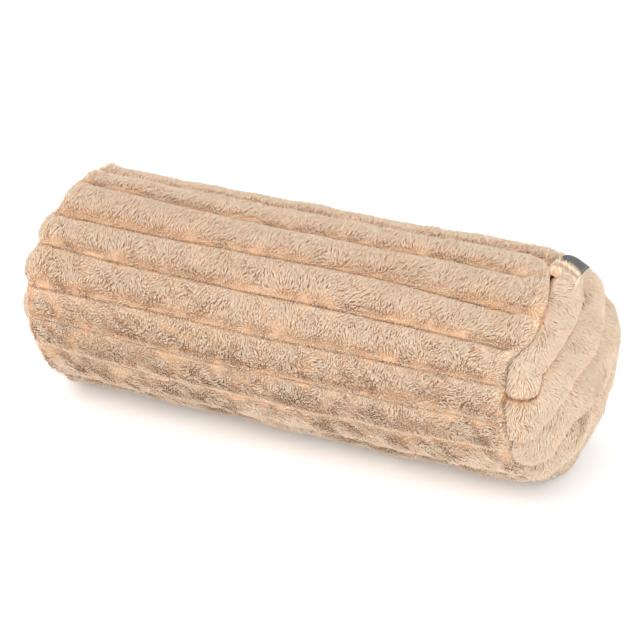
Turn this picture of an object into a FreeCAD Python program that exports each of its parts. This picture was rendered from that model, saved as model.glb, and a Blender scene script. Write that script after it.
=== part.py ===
"""Bolster pillow: a zipped, ribbed plush cover over a hollow-fibre inner pad.

Frame, in millimetres: +X runs along the bolster towards the end with the side label, +Y points to
the zip at the back, and +Z is up. The origin is on the ground, under the middle of the bolster.
The bolster's own axis is parallel to X at axis_height. Angles round it start at the front (-Y) and
grow over the top, so the zip lies at 180 degrees. A depth is a distance outwards from that axis.
"""
import FreeCAD, Part

import math
import os

import Sketcher

Vector = FreeCAD.Vector
Rotation = FreeCAD.Rotation
Placement = FreeCAD.Placement

DIMENSIONS = {
    # whole bolster, over the pile
    "outer_radius": 100.0,
    "axis_height": 95.0,
    "body_length": 420.0,
    "dome_height": 50.0,
    "lip": 7.0,
    "shoulder_radius": 30.0,
    # plush cover
    "cover_wall": 15.2,
    "rib_arc_radius": 21.3,
    "rib_core_radius": 90.0,
    "band_width": 38.0,
    "first_band_edge": 64.0,
    "band_tilt": 24.0,
    "band_groove_width": 5.0,
    "seam_thread_radius": 0.6,
    "seam_thread_depth": 93.95,
    "closing_thread_depth": 94.7,
    # inner pad
    "pad_gap": 0.8,
    "casing_wall": 0.8,
    "pad_thread_radius": 0.3,
    # zip
    "channel_length": 380.0,
    "channel_width": 13.0,
    "tape_pocket_width": 28.4,
    "tape_pocket_depth": 87.0,
    "tape_length": 372.0,
    "tape_width": 12.5,
    "tape_gap": 0.7,
    "tape_depth": 85.5,
    "tape_thickness": 0.5,
    "tape_thread_radius": 0.3,
    "tape_thread_offset": 11.0,
    "teeth_start": -167.0,
    "teeth_length": 338.0,
    "teeth_pitch": 3.0,
    "tooth_width": 1.1,
    "tooth_reach": 0.7,
    "cord_inner": 1.3,
    "cord_outer": 2.9,
    "teeth_depth": 86.05,
    "cord_thickness": 1.95,
    "tooth_inset": 0.2,
    "slider_x": -165.0,
    "slider_length": 10.0,
    "slider_width": 8.4,
    "slider_wall": 0.8,
    "flange_depth": 86.2,
    "plate_thickness": 0.9,
    "slider_inner_depth": 84.4,
    "slider_outer_depth": 88.3,
    "post_length": 1.8,
    "post_width": 0.8,
    "lug_length": 5.0,
    "lug_width": 1.9,
    "lug_height": 3.9,
    "pin_depth": 91.3,
    "pin_radius": 1.0,
    "pin_clearance": 0.08,
    "arm_gap": 0.25,
    "arm_width": 1.0,
    "arm_radius": 1.6,
    "tab_start": 4.0,
    "tab_length": 20.0,
    "tab_thickness": 1.4,
    "tab_hole_radius": 1.4,
    "stop_length": 3.0,
    "stop_width": 2.4,
    "stop_thickness": 2.2,
    "stop_gap": 0.6,
    # labels
    "side_label_width": 28.0,
    "side_label_thickness": 0.9,
    "side_label_gap": 1.0,
    "side_label_start": 1.0,
    "side_label_depth": 95.2,
    "side_label_angle": 100.0,
    "side_label_first_angle": 47.0,
    "side_label_bend": 53.0,
    "care_label_length": 40.0,
    "care_label_start": 100.0,
    "care_label_angle": 28.0,
    "care_label_depth": 84.25,
    "care_label_thickness": 0.3,
}

# Rib edges round the body, in degrees: even ribs at the front, slightly narrower ones from the top
# to the zip, and slightly wider ones below, where the fabric is stretched flat.
RIB_SPANS = ((-180.0, -26.3, 7), (-26.3, 79.45, 5), (79.45, 180.0, 5))
BAND_GROOVES = 4
TOOL_SIZE = 600.0
LARGEST_FILE = 32e6

ALONG_X = Rotation(Vector(0, 1, 0), 90)
HALF_TURN = Rotation(Vector(0, 0, 1), 180)

doc = FreeCAD.newDocument("bolster_pillow")
sheet = doc.addObject("Spreadsheet::Sheet", "sizes")
for row, (alias, value) in enumerate(DIMENSIONS.items(), start=1):
    sheet.set(f"A{row}", alias)
    sheet.set(f"B{row}", str(value))
    sheet.setAlias(f"B{row}", alias)
doc.recompute()

nodes = []


# ---------------------------------------------------------------- helpers


def size(alias):
    """A driving dimension, read back from the sheet."""
    return float(getattr(sheet, alias))


def bind(item, formulas):
    """Binds properties to formulas, where s.name is a cell of the sheet."""
    for prop, formula in formulas.items():
        item.setExpression(prop, str(formula).replace("s.", "sizes."))
    return item


def place(item, x="0", y="0", z="0"):
    """Binds an object's position to formulas."""
    return bind(item, {"Placement.Base.x": x, "Placement.Base.y": y, "Placement.Base.z": z})


def box(name, corner, edges):
    """A box from formulas for its lowest corner and its edges."""
    item = doc.addObject("Part::Box", name)
    bind(item, dict(zip(("Length", "Width", "Height"), edges)))
    return place(item, *corner)


def rod(name, radius, length, start):
    """A cylinder along +X from formulas."""
    item = doc.addObject("Part::Cylinder", name)
    item.Placement = Placement(Vector(), ALONG_X)
    bind(item, {"Radius": radius, "Height": length})
    return place(item, *start)


def pin(name, radius, length, start):
    """A cylinder along +Z from formulas."""
    item = doc.addObject("Part::Cylinder", name)
    bind(item, {"Radius": radius, "Height": length})
    return place(item, *start)


def ring(name, major, minor, x):
    """A thread ring round the bolster's axis."""
    item = doc.addObject("Part::Torus", name)
    item.Placement = Placement(Vector(), ALONG_X)
    bind(item, {"Radius1": major, "Radius2": minor})
    return place(item, x=x, z="s.axis_height")


def cut(name, base, tool):
    item = doc.addObject("Part::Cut", name)
    item.Base = base
    item.Tool = tool
    return item


def fuse(name, pieces):
    item = doc.addObject("Part::MultiFuse", name)
    item.Shapes = pieces
    return item


def common(name, pieces):
    item = doc.addObject("Part::MultiCommon", name)
    item.Shapes = pieces
    return item


def group(name, pieces):
    """Separate solids that share one node."""
    item = doc.addObject("Part::Compound", name)
    item.Links = pieces
    return item


def node(item, label):
    """Names a finished sub-part and puts it on the list to write."""
    item.Label = label
    nodes.append(item)
    return item


def origin_plane(body, role):
    return next(plane for plane in body.Origin.OriginFeatures if plane.Role == role)


def new_sketch(body, name, role):
    sketch = body.newObject("Sketcher::SketchObject", name)
    sketch.AttachmentSupport = [(origin_plane(body, role), "")]
    sketch.MapMode = "FlatFace"
    return sketch


def constrain(sketch, formula, kind, *where):
    """Adds a size to a sketch and binds it to a formula."""
    index = sketch.addConstraint(Sketcher.Constraint(kind, *where))
    bind(sketch, {f"Constraints[{index}]": formula})


def floor_tool(name):
    """Everything below the ground, which flattens the underside that rests on it."""
    half = -TOOL_SIZE / 2
    return box(name, (half, half, -TOOL_SIZE), (TOOL_SIZE, TOOL_SIZE, TOOL_SIZE))


# ---------------------------------------------------------------- domed solid


def dome(name, inset, first_x, rim_drop="0", mirrored=False):
    """A solid dome of revolution, inset from the outside of the pile.

    A wall runs from first_x to the shoulder, the shoulder arc bends it inwards, and a flatter
    crown arc meets the shoulder smoothly and ends on the bolster's axis. rim_drop lowers the
    wall's first edge, which bevels the rim. A first_x of 0 makes half of a closed pad.
    """
    body = doc.addObject("PartDesign::Body", name)
    sketch = new_sketch(body, name + "_section", "XY_Plane")

    inset_mm = size_of(inset)
    arc_x = size("body_length") / 2 + size("lip")
    arc_y = size("outer_radius") - size("shoulder_radius")
    rise = size("dome_height") - size("lip")
    crown = (rise**2 + arc_y**2 - size("shoulder_radius") ** 2) / (2 * (rise - size("shoulder_radius")))
    crown_x = arc_x + rise - crown
    lean = math.atan2(arc_y, arc_x - crown_x)
    start_x = size_of(first_x)
    top = size("outer_radius") - inset_mm

    def line(x1, y1, x2, y2):
        return sketch.addGeometry(Part.LineSegment(Vector(x1, y1, 0), Vector(x2, y2, 0)), False)

    def arc(x, y, radius, start, stop):
        circle = Part.Circle(Vector(x, y, 0), Vector(0, 0, 1), radius)
        return sketch.addGeometry(Part.ArcOfCircle(circle, start, stop), False)

    start, end, centre = 1, 2, 3
    axis = line(start_x, 0, arc_x + rise - inset_mm, 0)
    face = line(start_x, 0, start_x, top - size_of(rim_drop))
    wall = line(start_x, top - size_of(rim_drop), arc_x, top)
    shoulder = arc(arc_x, arc_y, size("shoulder_radius") - inset_mm, lean, math.pi / 2)
    crown_arc = arc(crown_x, 0, crown - inset_mm, 0, lean)

    for first, first_end, second, second_end in (
        (axis, start, face, start),
        (face, end, wall, start),
        (wall, end, shoulder, end),
        (crown_arc, start, axis, end),
    ):
        sketch.addConstraint(Sketcher.Constraint("Coincident", first, first_end, second, second_end))
    sketch.addConstraint(Sketcher.Constraint("Tangent", shoulder, start, crown_arc, end))
    sketch.addConstraint(Sketcher.Constraint("PointOnObject", axis, start, -1))
    sketch.addConstraint(Sketcher.Constraint("PointOnObject", axis, end, -1))
    sketch.addConstraint(Sketcher.Constraint("PointOnObject", crown_arc, centre, -1))
    sketch.addConstraint(Sketcher.Constraint("Vertical", face))
    sketch.addConstraint(Sketcher.Constraint("Vertical", shoulder, centre, shoulder, end))

    constrain(sketch, first_x, "DistanceX", -1, 1, axis, start, start_x)
    constrain(sketch, f"s.outer_radius - ({inset}) - ({rim_drop})", "DistanceY", -1, 1, face, end,
              top - size_of(rim_drop))
    constrain(sketch, "s.body_length / 2 + s.lip", "DistanceX", -1, 1, shoulder, centre, arc_x)
    constrain(sketch, "s.outer_radius - s.shoulder_radius", "DistanceY", -1, 1, shoulder, centre, arc_y)
    constrain(sketch, f"s.shoulder_radius - ({inset})", "Radius", shoulder,
              size("shoulder_radius") - inset_mm)
    constrain(sketch, f"s.body_length / 2 + s.dome_height - ({inset})", "DistanceX", -1, 1, axis, end,
              arc_x + rise - inset_mm)

    turned = body.newObject("PartDesign::Revolution", name + "_turned")
    turned.Profile = sketch
    turned.ReferenceAxis = (sketch, ["H_Axis"])
    turned.Angle = 360
    if mirrored:
        body.Placement = Placement(Vector(), HALF_TURN)
    return place(body, z="s.axis_height")


def size_of(formula):
    """The value of a formula in the sheet's names."""
    return float(sheet.evalExpression(str(formula).replace("s.", "")))


PAD_INSET = "s.cover_wall + s.pad_gap"
CORE_INSET = PAD_INSET + " + s.casing_wall + s.pad_gap"


# ---------------------------------------------------------------- cover, body panel


def rib_edges():
    """The angle of every groove between two ribs, round the body once."""
    edges = []
    for first, last, count in RIB_SPANS:
        edges += [first + (last - first) * k / count for k in range(count)]
    return edges + [RIB_SPANS[-1][1]]


def make_cover_body():
    """Ribbed tube of plush, bevelled at both ends, flat underneath, with a slit for the zip."""
    edges = rib_edges()
    core_start = ("-s.body_length / 2", "0", "s.axis_height")
    ribs = [rod("rib_core", "s.rib_core_radius", "s.body_length", core_start)]
    reach = "(s.outer_radius - s.rib_arc_radius)"
    for number, (low, high) in enumerate(zip(edges, edges[1:]), start=1):
        middle = (low + high) / 2
        start = (
            "-s.body_length / 2",
            f"-{reach} * cos({middle} deg)",
            f"s.axis_height + {reach} * sin({middle} deg)",
        )
        ribs.append(rod(f"rib_{number}", "s.rib_arc_radius", "s.body_length", start))
    ribbed = fuse("ribbed_tube", ribs)

    barrel_middle = rod("barrel_middle", "s.outer_radius + s.lip", "s.body_length - 2 * s.lip",
                        ("s.lip - s.body_length / 2", "0", "s.axis_height"))
    bevels = []
    for name, turn in (("bevel_right", ALONG_X), ("bevel_left", Rotation(Vector(0, 1, 0), -90))):
        bevel = doc.addObject("Part::Cone", name)
        bevel.Placement = Placement(Vector(), turn)
        bind(bevel, {"Radius1": "s.outer_radius", "Radius2": "s.outer_radius - s.lip", "Height": "s.lip"})
        sign = "" if turn is ALONG_X else "-"
        bevels.append(place(bevel, x=f"{sign}(s.body_length / 2 - s.lip)", z="s.axis_height"))
    barrel = fuse("barrel", [barrel_middle] + bevels)
    outside = common("body_outside", [ribbed, barrel])

    bore = rod("body_bore", "s.outer_radius - s.cover_wall", "s.body_length + 2 * s.lip",
               ("-s.body_length / 2 - s.lip", "0", "s.axis_height"))
    channel = box("zip_channel", ("-s.channel_length / 2", "0", "s.axis_height - s.channel_width / 2"),
                  ("s.channel_length", "s.outer_radius + s.lip", "s.channel_width"))
    pocket = box("tape_pocket", ("-s.channel_length / 2", "0", "s.axis_height - s.tape_pocket_width / 2"),
                 ("s.channel_length", "s.tape_pocket_depth", "s.tape_pocket_width"))
    openings = fuse("body_openings", [bore, channel, pocket])
    tube = cut("open_tube", outside, openings)
    node(cut("cover_body", tube, floor_tool("body_floor")), "cover_body_panel")


# ---------------------------------------------------------------- cover, end panels


def band_slot(name, edge, sign):
    """A slab along a slanted chord of the end panel, which parts two plush bands."""
    tilt = sign * size("band_tilt")
    item = doc.addObject("Part::Box", name)
    item.Placement = Placement(Vector(), Rotation(Vector(1, 0, 0), tilt))
    bind(item, {"Length": TOOL_SIZE, "Width": TOOL_SIZE, "Height": "s.band_groove_width"})
    bottom = f"({edge} - s.band_groove_width / 2)"
    return place(
        item,
        x=-TOOL_SIZE / 2,
        y=f"-{TOOL_SIZE / 2} * cos({tilt} deg) - {bottom} * sin({tilt} deg)",
        z=f"s.axis_height - {TOOL_SIZE / 2} * sin({tilt} deg) + {bottom} * cos({tilt} deg)",
    )


def make_end_panel(side, sign):
    """Domed round panel of slanted plush bands on one backing, flat underneath."""
    rim = "s.body_length / 2"
    mirrored = sign < 0
    pile = dome(f"pile_{side}", "0", rim, "s.lip", mirrored)
    slots = [
        band_slot(f"band_slot_{side}_{number}", f"s.first_band_edge - {number} * s.band_width", sign)
        for number in range(BAND_GROOVES)
    ]
    bands = cut(f"bands_{side}", pile, fuse(f"band_slots_{side}", slots))
    backing = dome(f"backing_{side}", "s.lip", rim, mirrored=mirrored)
    tools = [
        dome(f"end_inside_{side}", "s.cover_wall", rim, mirrored=mirrored),
        floor_tool(f"end_floor_{side}"),
    ]
    outside = fuse(f"end_outside_{side}", [bands, backing])
    panel = cut(f"end_panel_{side}", outside, fuse(f"end_tools_{side}", tools))
    node(panel, f"cover_end_panel_{side}")


def make_side_label():
    """Loop label: a root in the right end seam and a strip bent over the end panel's shoulder."""
    bend = "s.shoulder_radius + s.side_label_gap"
    sectors = []
    for name, radius in (("label_outer", f"{bend} + s.side_label_thickness"), ("label_inner", bend)):
        centre = ("s.body_length / 2 + s.lip", "s.side_label_width / 2", "s.outer_radius - s.shoulder_radius")
        sector = pin(name, radius, "s.side_label_width", centre)
        first = Rotation(Vector(0, 0, 1), size("side_label_first_angle"))
        sector.Placement = Placement(Vector(), Rotation(Vector(1, 0, 0), 90).multiply(first))
        sectors.append(bind(sector, {"Angle": "s.side_label_bend"}))
    strip = cut("label_strip", *sectors)
    root = box(
        "label_root",
        ("s.body_length / 2 + s.side_label_start", "-s.side_label_width / 2", "s.side_label_depth"),
        ("s.side_label_thickness", "s.side_label_width",
         "s.outer_radius + s.side_label_gap - s.side_label_depth"),
    )
    label = fuse("label", [strip, root])
    label.Placement = Placement(Vector(), Rotation(Vector(1, 0, 0), 90 - size("side_label_angle")))
    node(place(label, z="s.axis_height"), "side_label")


def make_seams():
    """Threads that join the cover's three panels."""
    for side, sign in (("left", "-"), ("right", "")):
        node(ring(f"end_seam_{side}", "s.seam_thread_depth", "s.seam_thread_radius",
                  f"{sign}s.body_length / 2"), f"end_seam_thread_{side}")

    length = "(s.body_length - s.channel_length) / 2 - s.seam_thread_radius * 2"
    start = "-s.body_length / 2 + s.seam_thread_radius * 2"
    threads = [
        rod("closing_left", "s.seam_thread_radius", length,
            (start, "s.closing_thread_depth", "s.axis_height")),
        rod("closing_right", "s.seam_thread_radius", length,
            ("s.channel_length / 2", "s.closing_thread_depth", "s.axis_height")),
    ]
    node(group("closing_seam", threads), "closing_seam_thread")


def make_care_label():
    """Blank care label, a short strip that lies between the cover and the inner pad."""
    strips = []
    for name, radius in (("care_outer", "s.care_label_depth + s.care_label_thickness"),
                         ("care_inner", "s.care_label_depth")):
        strip = rod(name, radius, "s.care_label_length", ("s.care_label_start", "0", "s.axis_height"))
        strip.Placement = Placement(Vector(), ALONG_X.multiply(Rotation(Vector(0, 0, 1), 100)))
        strips.append(bind(strip, {"Angle": "s.care_label_angle"}))
    node(cut("care_strip", *strips), "care_label")


# ---------------------------------------------------------------- inner pad


def make_inner_pad():
    """Thin casing of a tube and two domed ends, its seams, and the filling."""
    start = "-s.body_length / 2"
    length = "s.body_length"
    tube_outer = rod("casing_outer", f"s.outer_radius - ({PAD_INSET})", length, (start, "0", "s.axis_height"))
    tube_inner = rod("casing_inner", f"s.outer_radius - ({PAD_INSET}) - s.casing_wall", length,
                     (start, "0", "s.axis_height"))
    node(cut("casing_tube", tube_outer, tube_inner), "pad_casing_tube")

    thread_depth = f"s.outer_radius - ({PAD_INSET}) - s.casing_wall - s.pad_gap / 2"
    for side, sign in (("left", -1), ("right", 1)):
        outer = dome(f"casing_end_outer_{side}", PAD_INSET, "s.body_length / 2", mirrored=sign < 0)
        inner = dome(f"casing_end_inner_{side}", PAD_INSET + " + s.casing_wall", "s.body_length / 2",
                     mirrored=sign < 0)
        node(cut(f"casing_end_{side}", outer, inner), f"pad_casing_end_{side}")
        node(ring(f"pad_seam_{side}", thread_depth, "s.pad_thread_radius",
                  f"{sign} * s.body_length / 2"),
             f"pad_seam_thread_{side}")

    closing = rod("pad_closing", "s.pad_thread_radius", length,
                  (start, f"-(s.outer_radius - ({PAD_INSET}) + s.pad_gap / 2)", "s.axis_height"))
    node(closing, "pad_closing_thread")

    halves = [dome("core_right", CORE_INSET, "0"), dome("core_left", CORE_INSET, "0", mirrored=True)]
    node(fuse("core", halves), "fibre_filling")


# ---------------------------------------------------------------- zip


def make_tapes():
    """Two woven tapes and the stitch lines that hold them to the plush."""
    for side, sign in (("upper", 1), ("lower", -1)):
        low = "s.tape_gap" if sign > 0 else "-s.tape_gap - s.tape_width"
        tape = box(f"tape_{side}", ("-s.tape_length / 2", "s.tape_depth", f"s.axis_height + {low}"),
                   ("s.tape_length", "s.tape_thickness", "s.tape_width"))
        node(tape, f"zip_tape_{side}")
        stitch = rod(
            f"tape_stitch_{side}",
            "s.tape_thread_radius",
            "s.tape_length",
            (
                "-s.tape_length / 2",
                "s.tape_depth + s.tape_thickness + s.tape_thread_radius * 1.1",
                f"s.axis_height + {sign} * s.tape_thread_offset",
            ),
        )
        node(stitch, f"zip_stitching_{side}")


def make_teeth(side, sign):
    """One row of zip teeth on its cord, made as one comb that meshes with the other row."""
    body = doc.addObject("PartDesign::Body", f"teeth_{side}")
    pitch = size("teeth_pitch")
    outer = sign * size("cord_outer")
    inner = sign * size("cord_inner")
    tip = -sign * size("tooth_reach")

    def rectangle(name, x1, y1, x2, y2, formulas):
        """A rectangle whose corners are four formulas: x1, y1, x2, y2."""
        sketch = new_sketch(body, name, "XZ_Plane")
        corners = [(x1, y1), (x2, y1), (x2, y2), (x1, y2)]
        edges = [
            sketch.addGeometry(Part.LineSegment(Vector(*a, 0), Vector(*b, 0)), False)
            for a, b in zip(corners, corners[1:] + corners[:1])
        ]
        for first, second in zip(edges, edges[1:] + edges[:1]):
            sketch.addConstraint(Sketcher.Constraint("Coincident", first, 2, second, 1))
        for edge, kind in zip(edges, ("Horizontal", "Vertical", "Horizontal", "Vertical")):
            sketch.addConstraint(Sketcher.Constraint(kind, edge))
        constrain(sketch, formulas[0], "DistanceX", -1, 1, edges[0], 1, x1)
        constrain(sketch, formulas[1], "DistanceY", -1, 1, edges[0], 1, y1)
        constrain(sketch, formulas[2], "DistanceX", -1, 1, edges[1], 2, x2)
        constrain(sketch, formulas[3], "DistanceY", -1, 1, edges[1], 2, y2)
        return sketch

    first_tooth = "s.teeth_start + 1" if sign > 0 else "s.teeth_start + 1 + s.teeth_pitch / 2"
    tooth_x = size_of(first_tooth)
    cord = body.newObject("PartDesign::Pad", f"cord_{side}")
    cord.Profile = rectangle(
        f"cord_outline_{side}", size("teeth_start"), inner, size("teeth_start") + size("teeth_length"), outer,
        ("s.teeth_start", f"{sign} * s.cord_inner",
         "s.teeth_start + s.teeth_length", f"{sign} * s.cord_outer"),
    )
    bind(cord, {"Length": "s.cord_thickness"})
    cord.Reversed = True
    tooth = body.newObject("PartDesign::Pad", f"tooth_{side}")
    tooth.Profile = rectangle(
        f"tooth_outline_{side}", tooth_x, tip, tooth_x + size("tooth_width"), (inner + outer) / 2,
        (first_tooth, f"{-sign} * s.tooth_reach", f"{first_tooth} + s.tooth_width",
         f"{sign} * (s.cord_inner + s.cord_outer) / 2"),
    )
    bind(tooth, {"Length": "s.cord_thickness - s.tooth_inset"})
    tooth.Reversed = True
    doc.recompute()
    row = body.newObject("PartDesign::LinearPattern", f"teeth_row_{side}")
    row.Originals = [tooth]
    row.Direction = (tooth.Profile[0], ["H_Axis"])
    row.Occurrences = int((size("teeth_length") - 2 * pitch) / pitch)
    bind(row, {"Length": f"s.teeth_pitch * {row.Occurrences - 1}"})
    body.Tip = row
    place(body, y="s.teeth_depth", z="s.axis_height")
    node(body, f"zip_teeth_{side}")


def make_slider():
    """Zip slider: two plates joined by a post, flanges on the outer plate, and a lug for the pull."""
    front = "s.slider_x - s.slider_length / 2"
    half_width = "s.slider_width / 2"
    low = f"s.axis_height - {half_width}"
    outer = "s.slider_outer_depth"
    pieces = [
        box("plate_inner", (front, "s.slider_inner_depth", low),
            ("s.slider_length", "s.plate_thickness", "s.slider_width")),
        box("plate_outer", (front, outer, low), ("s.slider_length", "s.plate_thickness", "s.slider_width")),
        box("post", (f"{front} + 0.4", "s.slider_inner_depth", "s.axis_height - s.post_width / 2"),
            ("s.post_length", f"{outer} - s.slider_inner_depth + s.plate_thickness", "s.post_width")),
        box("lug", ("s.slider_x - s.lug_length / 2", outer, "s.axis_height - s.lug_width / 2"),
            ("s.lug_length", "s.plate_thickness + s.lug_height", "s.lug_width")),
    ]
    edges = ("s.slider_length", f"{outer} - s.flange_depth + s.plate_thickness", "s.slider_wall")
    for name, z in (("flange_lower", low), ("flange_upper", f"s.axis_height + {half_width} - s.slider_wall")):
        pieces.append(box(name, (front, "s.flange_depth", z), edges))
    hole = pin("lug_hole", "s.pin_radius + s.pin_clearance", "3 * s.lug_width",
               ("s.slider_x", "s.pin_depth", "s.axis_height - 1.5 * s.lug_width"))
    node(cut("slider", fuse("slider_solid", pieces), hole), "zip_slider")


def make_pull():
    """Pull tab: two arms either side of the lug, a round pin through it, and a flat rounded tab."""
    arm_start = "s.lug_width / 2 + s.arm_gap"
    half = f"({arm_start} + s.arm_width)"
    back = "s.pin_depth - s.tab_thickness / 2"
    pin_start = ("s.slider_x", "s.pin_depth", f"s.axis_height - {half}")
    pieces = [pin("pull_pin", "s.pin_radius", f"2 * {half}", pin_start)]
    for name, z in (("upper", f"s.axis_height + {arm_start}"), ("lower", f"s.axis_height - {half}")):
        pieces.append(pin(f"arm_eye_{name}", "s.arm_radius", "s.arm_width", ("s.slider_x", "s.pin_depth", z)))
        pieces.append(box(f"arm_{name}", ("s.slider_x", back, z),
                          ("s.tab_start + 1", "s.tab_thickness", "s.arm_width")))
    tab_x = "s.slider_x + s.tab_start"
    width = f"(2 * {half} + 1.6)"
    pieces.append(box("tab", (tab_x, back, f"s.axis_height - {width} / 2"),
                      (f"s.tab_length - {width} / 2", "s.tab_thickness", width)))
    tip_x = f"{tab_x} + s.tab_length - {width} / 2"
    for name, radius in (("tab_tip", f"{width} / 2"), ("tab_hole", "s.tab_hole_radius")):
        disc = doc.addObject("Part::Cylinder", name)
        disc.Placement = Placement(Vector(), Rotation(Vector(1, 0, 0), -90))
        bind(disc, {"Radius": radius, "Height": "s.tab_thickness"})
        place(disc, tip_x, back, "s.axis_height")
    pieces.append(doc.getObject("tab_tip"))
    node(cut("pull", fuse("pull_solid", pieces), doc.getObject("tab_hole")), "zip_pull")


def make_stops():
    """Stops crimped on the tapes: one across both rows at the open end, one on each at the other."""
    on_tape = "s.tape_depth + s.tape_thickness"
    stop = box("bottom_stop", ("s.teeth_start + s.teeth_length + 1", on_tape, "s.axis_height - s.cord_outer"),
               ("s.stop_length", "s.stop_thickness", "2 * s.cord_outer"))
    node(stop, "zip_bottom_stop")
    x = "s.slider_x - s.slider_length / 2 - s.stop_length - 1.5"
    edges = ("s.stop_length", "s.stop_thickness", "s.stop_width")
    stops = [
        box("top_stop_upper", (x, on_tape, "s.axis_height + s.stop_gap"), edges),
        box("top_stop_lower", (x, on_tape, "s.axis_height - s.stop_gap - s.stop_width"), edges),
    ]
    node(group("top_stops", stops), "zip_top_stops")


# ---------------------------------------------------------------- build, test and write


def check():
    """Stops if any object failed, or any sub-part is empty or not valid."""
    failed = [o.Name for o in doc.Objects if "Invalid" in o.State or "Error" in o.State]
    if failed:
        raise RuntimeError(f"objects failed to build: {failed}")
    for item in nodes:
        shape = item.Shape
        if shape.isNull() or not shape.isValid() or not shape.Solids:
            raise RuntimeError(f"{item.Label} is empty or not valid")
        print(f"{item.Label:24} solids {len(shape.Solids):3d}  volume {shape.Volume / 1000:10.3f} cm3")


def write():
    """Writes each sub-part to a STEP file of its own."""
    os.makedirs("parts", exist_ok=True)
    for item in nodes:
        path = f"parts/{item.Label}.step"
        item.Shape.exportStep(path)
        if os.path.getsize(path) > LARGEST_FILE:
            raise RuntimeError(f"{path} is too large")


make_cover_body()
make_end_panel("left", -1)
make_end_panel("right", 1)
make_seams()
make_side_label()
make_care_label()
make_inner_pad()
make_tapes()
make_teeth("upper", 1)
make_teeth("lower", -1)
make_slider()
make_pull()
make_stops()
doc.recompute()
check()
write()
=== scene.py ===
"""Looks of the ribbed plush bolster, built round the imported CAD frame. Lengths are in metres."""

import math

import bpy
import numpy as np
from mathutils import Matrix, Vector


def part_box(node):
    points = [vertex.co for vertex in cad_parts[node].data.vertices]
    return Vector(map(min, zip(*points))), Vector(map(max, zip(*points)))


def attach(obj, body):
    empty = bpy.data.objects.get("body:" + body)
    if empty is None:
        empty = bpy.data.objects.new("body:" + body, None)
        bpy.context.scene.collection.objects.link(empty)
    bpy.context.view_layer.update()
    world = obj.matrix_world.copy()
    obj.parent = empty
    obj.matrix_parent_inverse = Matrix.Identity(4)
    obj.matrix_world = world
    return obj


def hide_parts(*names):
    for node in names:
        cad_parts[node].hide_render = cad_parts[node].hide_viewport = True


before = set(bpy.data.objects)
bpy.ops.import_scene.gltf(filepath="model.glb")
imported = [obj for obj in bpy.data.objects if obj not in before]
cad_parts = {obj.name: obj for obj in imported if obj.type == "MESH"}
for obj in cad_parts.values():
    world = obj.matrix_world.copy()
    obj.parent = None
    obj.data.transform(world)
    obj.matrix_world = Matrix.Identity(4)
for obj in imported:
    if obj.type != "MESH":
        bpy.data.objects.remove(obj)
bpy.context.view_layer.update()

END_LOW, END_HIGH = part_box("cover_end_panel_right")

# Sizes of the CAD part. The angle round the axis is 0 at the front and grows over the top.
RADIUS = (END_HIGH.y - END_LOW.y) / 2
AXIS_Z = END_HIGH.z - RADIUS
SEAM_X = END_LOW.x
LIP = 0.007
BAND_CREASE = 0.0115
WALL = 0.0148
ZIP_WALL = 0.0122
SHOULDER_RADIUS = 0.030
SHOULDER_START = 0.0808
CROWN_RADIUS = 0.225
CROWN_CENTRE_X = 0.035
RIB_SPANS = ((-180.0, -26.3, 7), (-26.3, 79.45, 5), (79.45, 180.0, 5))
BAND_TILT = math.radians(24.0)
BAND_EDGES = (0.0992, 0.064, 0.026, -0.012, -0.050, -0.0992)
CHANNEL_HALF_LENGTH = 0.190
CHANNEL_HALF_WIDTH = 0.0062
CASING_INSET = 0.016
FILLING_INSET = 0.0176
PAD_SEAM_RADIUS = 0.0829
CARE_LABEL_RADIUS = 0.08445

# Stitches: radius of the thread, and one stitch with the gap after it
COVER_THREAD, PAD_THREAD_RADIUS = 0.0006, 0.0003
COVER_STITCH, PAD_STITCH, TAPE_STITCH = 0.0035, 0.0030, 0.0025
END_SEAM_DEPTH = 0.0108
CLOSING_SEAM_Y = 0.0924

# Bend of a groove at the left and right ends of the tube, in degrees, by the groove's angle
GROOVE_BENDS = {79.45: (5.5, -2.6), 58.3: (-0.9, -4.8), 37.15: (2.1, -1.3), 16.0: (0.6, 1.8),
                -5.15: (3.6, 1.7), -26.3: (6.4, 4.8)}
# Length over which a groove fades out at the right end, and the angle by which one hooks there
GROOVE_FADES = {79.45: 0.030, 58.3: 0.030, 37.15: 0.012}
GROOVE_HOOKS = {99.56: -13.0}
# How the creases of the right end bow: (place along the crease, offset), by their place in mm
BAND_BOWS = {64: ((-0.095, -0.020), (-0.084, -0.015), (-0.057, 0.004), (-0.012, 0),
                  (0.015, -0.005), (0.036, -0.008), (0.065, -0.0095), (0.09, -0.010)),
             26: ((-0.095, -0.0075), (-0.082, 0.008), (-0.038, 0.014), (0.008, 0.003),
                  (0.038, -0.004), (0.075, -0.010), (0.09, -0.011)),
             -12: ((-0.095, 0.004), (-0.056, 0.013), (0, -0.003), (0.044, -0.008), (0.09, -0.006)),
             -50: ((-0.085, 0.006), (-0.04, 0.004), (0.0, 0.002), (0.085, -0.004))}
# How far the ribs bulge past the end seams, by angle
LEFT_ENDS = ((-180, 0.022), (-60, 0.025), (-20, 0.027), (60, 0.028), (110, 0.023), (180, 0.022))
RIGHT_ENDS = ((-180, 0.004), (-100, 0.006), (-60, 0.013), (-38, 0.0135), (-20, 0.0065), (0, 0.003),
              (6, -0.002), (16, 0.001), (30, 0.001), (45, 0.017), (57, 0.021), (70, 0.021),
              (80, 0.016), (90, 0.013), (110, 0.004), (180, 0.002))
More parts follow.
